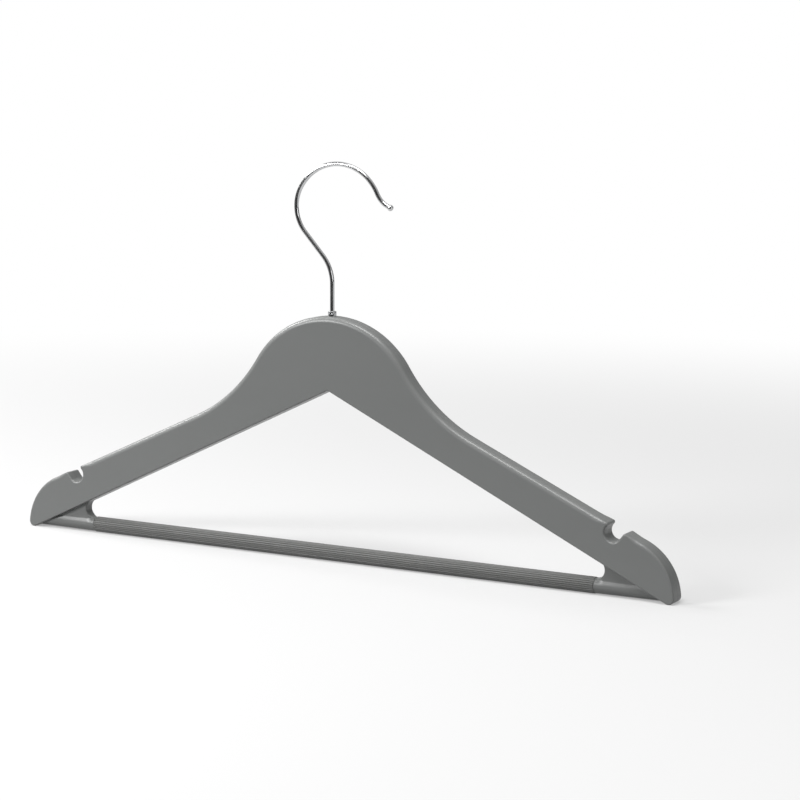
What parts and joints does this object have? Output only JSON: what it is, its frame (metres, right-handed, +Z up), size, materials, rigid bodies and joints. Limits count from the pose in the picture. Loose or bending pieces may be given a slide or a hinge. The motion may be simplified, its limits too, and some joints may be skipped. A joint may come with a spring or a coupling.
{
  "type": "trouser hanger",
  "caption": "Moulded plastic trouser hanger with a bell-shaped middle, sloping arms with strap notches, a ribbed non-slip bar and a swivelling wire hook.",
  "frame": {"origin": "middle of the hanger, at the floor the two arm tips stand on", "axes": "+X along the bar to the right, -Y out of the front face, +Z up to the hook"},
  "size_m": [0.4388, 0.012, 0.2354],
  "materials": {
    "body_front": "satin moulded",
    "body_rear": "satin moulded",
    "bar_end": "satin moulded",
    "sleeve": "ribbed soft",
    "rod": "drawn",
    "collar": "plated",
    "bush": "natural",
    "hook": "plated wire",
    "hook_ball": "plated",
    "washer": "zinc plated",
    "nut": "zinc plated"
  },
  "bodies": {
    "hanger": {"front_shell": "body_front", "rear_shell": "body_rear", "bar_end_left": "bar_end", "bar_end_right": "bar_end", "grip_sleeve": "sleeve", "bar_core": "rod", "hook_ferrule": "collar", "swivel_bush": "bush"},
    "hook": {"hook_wire": "hook", "hook_tip": "hook_ball", "thrust_washer": "washer", "shank_nut": "nut"}
  },
  "joints": [
    {"name": "hook_swivel", "type": "hinge", "parent": "hanger", "child": "hook", "pos_m": [0, 0, 0.1454], "axis": [0, 0, 1], "continuous": true}
  ]
}
